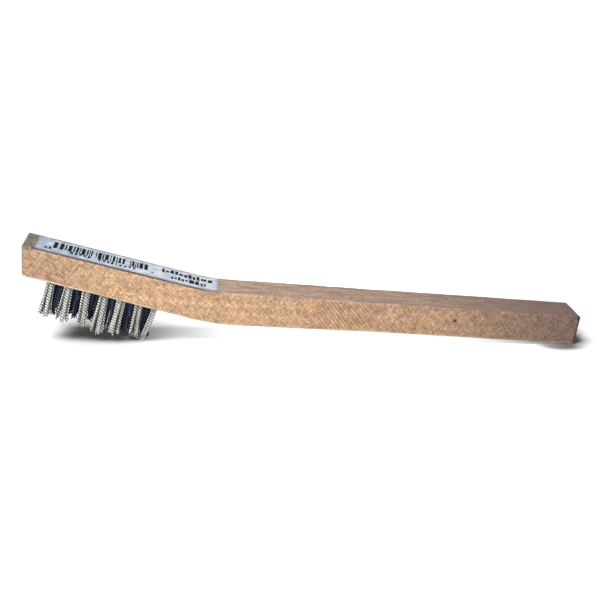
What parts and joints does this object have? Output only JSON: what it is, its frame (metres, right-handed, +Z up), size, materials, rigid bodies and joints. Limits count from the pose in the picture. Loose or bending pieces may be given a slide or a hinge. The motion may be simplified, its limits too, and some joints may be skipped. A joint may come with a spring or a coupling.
{
  "type": "wire scratch brush",
  "caption": "Small hand scratch brush: a bent wooden stick that is head and handle in one, with crimped steel wire tufts in rows under the head and a paper label on its back.",
  "frame": {"origin": "on the table, under the middle of the part's bounding box, as the brush lies on the tips of its last tufts and on the lower edge of its free end", "axes": "+X from the head to the free end of the handle, +Y across the block, +Z up"},
  "size_m": [0.1964, 0.0136, 0.0346],
  "materials": {
    "wood": "sawn and lightly sanded, unvarnished",
    "label_paper": "coated paper with dark printed bars",
    "steel_wire": "crimped wire, bright",
    "staple_steel": "flat wire"
  },
  "bodies": {
    "root": {"wood_block": "wood", "paper_label": "label_paper", "tuft_front_1": "steel_wire", "tuft_front_2": "steel_wire", "tuft_front_3": "steel_wire", "tuft_front_4": "steel_wire", "tuft_front_5": "steel_wire", "tuft_front_6": "steel_wire", "tuft_front_7": "steel_wire", "tuft_middle_1": "steel_wire", "tuft_middle_2": "steel_wire", "tuft_middle_3": "steel_wire", "tuft_middle_4": "steel_wire", "tuft_middle_5": "steel_wire", "tuft_middle_6": "steel_wire", "tuft_back_1": "steel_wire", "tuft_back_2": "steel_wire", "tuft_back_3": "steel_wire", "tuft_back_4": "steel_wire", "tuft_back_5": "steel_wire", "tuft_back_6": "steel_wire", "tuft_back_7": "steel_wire", "staple_front_1": "staple_steel", "staple_front_2": "staple_steel", "staple_front_3": "staple_steel", "staple_front_4": "staple_steel", "staple_front_5": "staple_steel", "staple_front_6": "staple_steel", "staple_front_7": "staple_steel", "staple_middle_1": "staple_steel", "staple_middle_2": "staple_steel", "staple_middle_3": "staple_steel", "staple_middle_4": "staple_steel", "staple_middle_5": "staple_steel", "staple_middle_6": "staple_steel", "staple_back_1": "staple_steel", "staple_back_2": "staple_steel", "staple_back_3": "staple_steel", "staple_back_4": "staple_steel", "staple_back_5": "staple_steel", "staple_back_6": "staple_steel", "staple_back_7": "staple_steel"}
  },
  "joints": []
}
